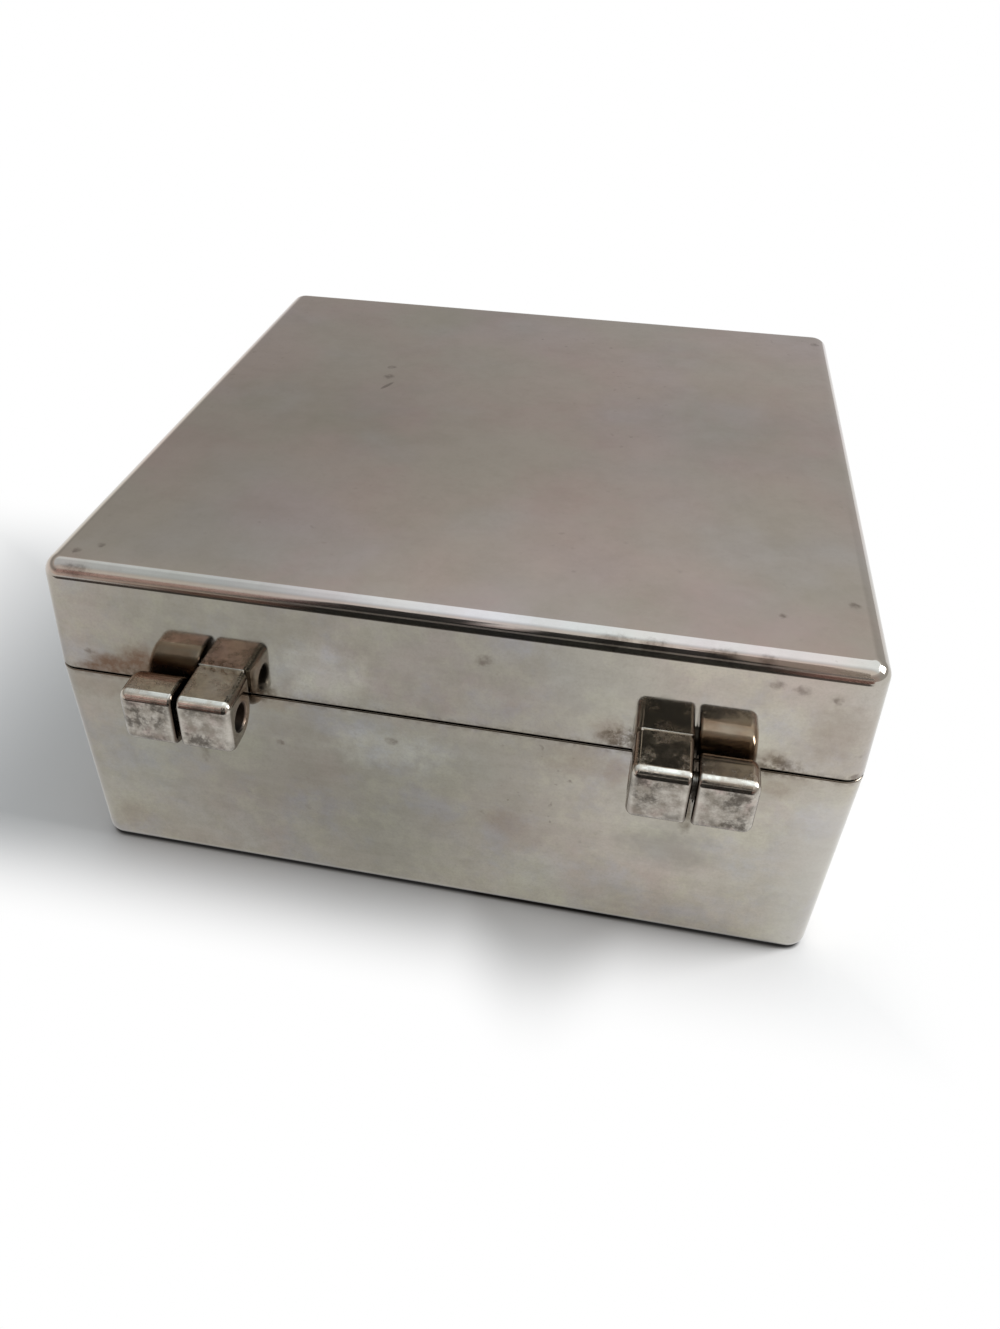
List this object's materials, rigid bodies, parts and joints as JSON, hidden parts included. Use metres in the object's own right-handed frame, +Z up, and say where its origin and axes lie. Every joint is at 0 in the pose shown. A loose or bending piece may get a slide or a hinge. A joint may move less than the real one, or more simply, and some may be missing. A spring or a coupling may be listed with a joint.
{
  "type": "trinket box",
  "caption": "Square polished silver-plated trinket box with a velvet-lined base and a flat lid on cube-knuckle stop hinges.",
  "frame": {"origin": "middle of the flat underside", "axes": "+Z up, front at -Y, hinges at +Y, +X to the right as seen from the front"},
  "size_m": [0.115, 0.1232, 0.0545],
  "materials": {
    "silver": "polished silver plate with light tarnish",
    "hinge_silver": "polished silver plate, worn and tarnished",
    "pin_steel": "drawn rod",
    "velvet": "short-pile velvet"
  },
  "bodies": {
    "base": {"base_shell": "silver", "rim_lip": "silver", "base_knuckle_left": "hinge_silver", "base_knuckle_right": "hinge_silver", "hinge_pin_left": "pin_steel", "hinge_pin_right": "pin_steel", "floor_pad": "velvet", "lining_front": "velvet", "lining_rear": "velvet", "lining_left": "velvet", "lining_right": "velvet"},
    "lid": {"lid_shell": "silver", "lid_knuckle_left": "hinge_silver", "lid_knuckle_right": "hinge_silver", "lid_pad": "velvet"}
  },
  "joints": [
    {"name": "lid_hinge", "type": "hinge", "parent": "base", "child": "lid", "pos_m": [0, 0.0621, 0.03615], "axis": [-1, 0, 0], "range_deg": [0, 92]}
  ]
}
